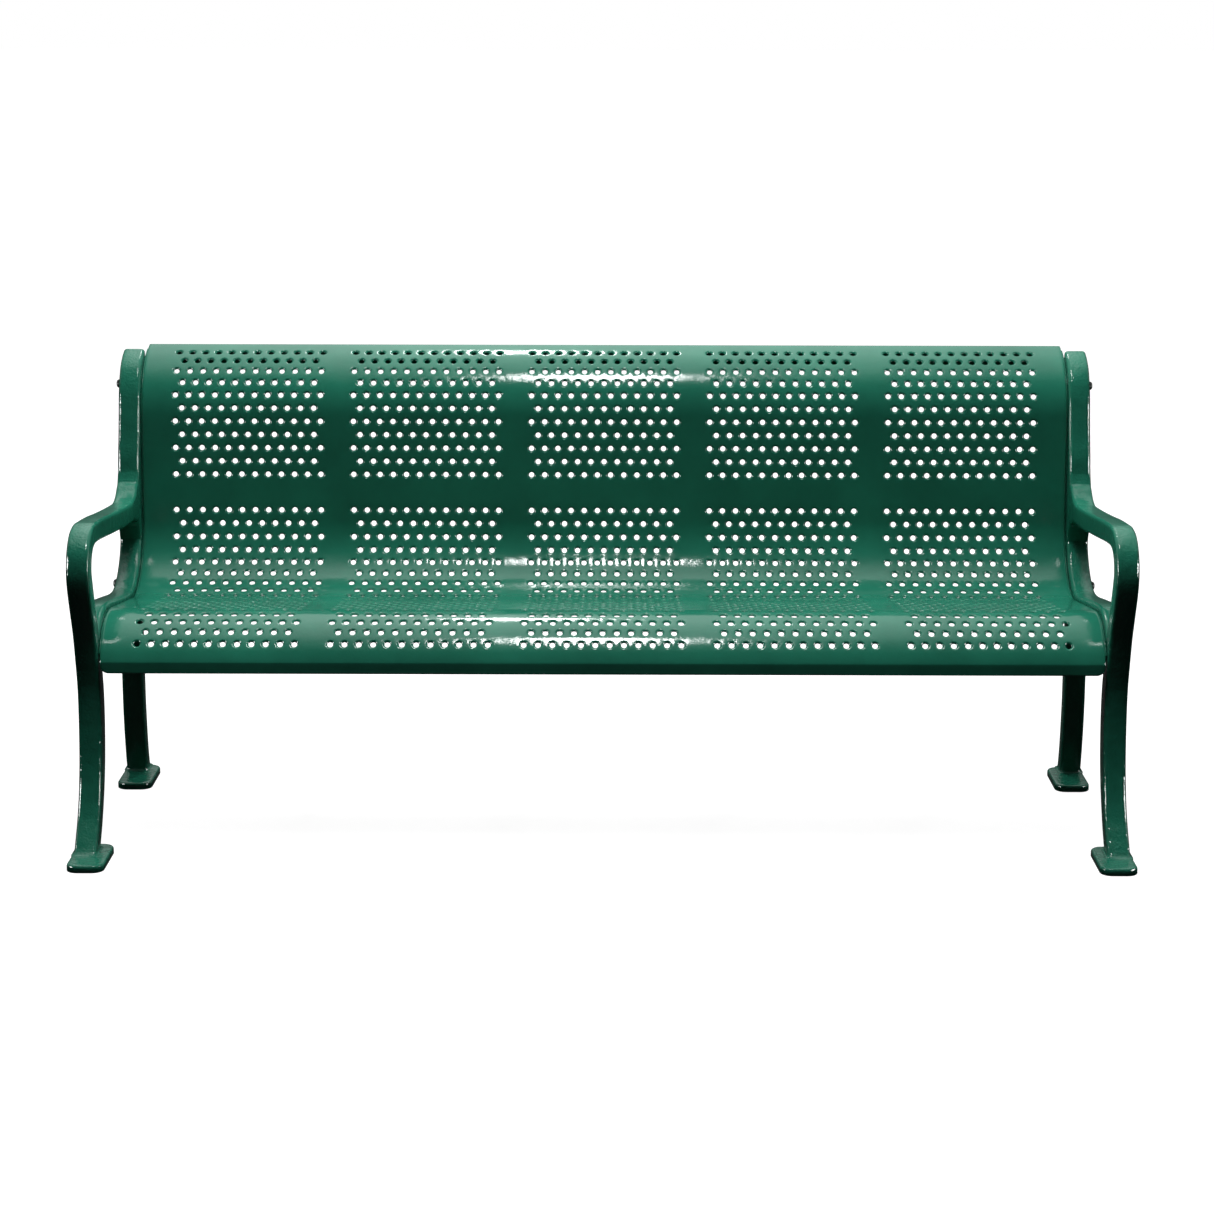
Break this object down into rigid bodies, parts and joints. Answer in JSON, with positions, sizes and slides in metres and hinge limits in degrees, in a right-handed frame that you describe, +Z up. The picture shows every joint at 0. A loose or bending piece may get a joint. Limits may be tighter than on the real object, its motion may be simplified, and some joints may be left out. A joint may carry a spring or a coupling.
{
  "type": "park bench",
  "caption": "Perforated steel bench: one bent sheet forms seat and back between two end frames that carry armrests, legs and foot plates.",
  "frame": {"origin": "middle of the bench's outline, on the ground", "axes": "+X along the bench to the right as seen from the front, +Y towards the back, +Z up; the front faces -Y"},
  "size_m": [1.9362, 0.7812, 0.8576],
  "materials": {
    "panel_paint": "thick glossy green plastic coating on perforated steel sheet",
    "frame_paint": "glossy green coating with slight orange peel",
    "plate_paint": "green coating, hidden side",
    "fastener_steel": "dark coated steel"
  },
  "bodies": {
    "root": {"seat_back_panel": "panel_paint", "contour_rib_1": "plate_paint", "contour_rib_2": "plate_paint", "contour_rib_3": "plate_paint", "contour_rib_4": "plate_paint", "left_back_seat_member": "frame_paint", "left_arm_front_leg": "frame_paint", "left_rear_leg": "frame_paint", "left_front_foot": "frame_paint", "left_rear_foot": "frame_paint", "left_end_plate": "plate_paint", "left_top_bolt": "fastener_steel", "left_top_washer": "fastener_steel", "left_top_nut": "fastener_steel", "left_crease_bolt": "fastener_steel", "left_crease_washer": "fastener_steel", "left_crease_nut": "fastener_steel", "left_seat_bolt": "fastener_steel", "left_seat_washer": "fastener_steel", "left_seat_nut": "fastener_steel", "right_back_seat_member": "frame_paint", "right_arm_front_leg": "frame_paint", "right_rear_leg": "frame_paint", "right_front_foot": "frame_paint", "right_rear_foot": "frame_paint", "right_end_plate": "plate_paint", "right_top_bolt": "fastener_steel", "right_top_washer": "fastener_steel", "right_top_nut": "fastener_steel", "right_crease_bolt": "fastener_steel", "right_crease_washer": "fastener_steel", "right_crease_nut": "fastener_steel", "right_seat_bolt": "fastener_steel", "right_seat_washer": "fastener_steel", "right_seat_nut": "fastener_steel"}
  },
  "joints": []
}
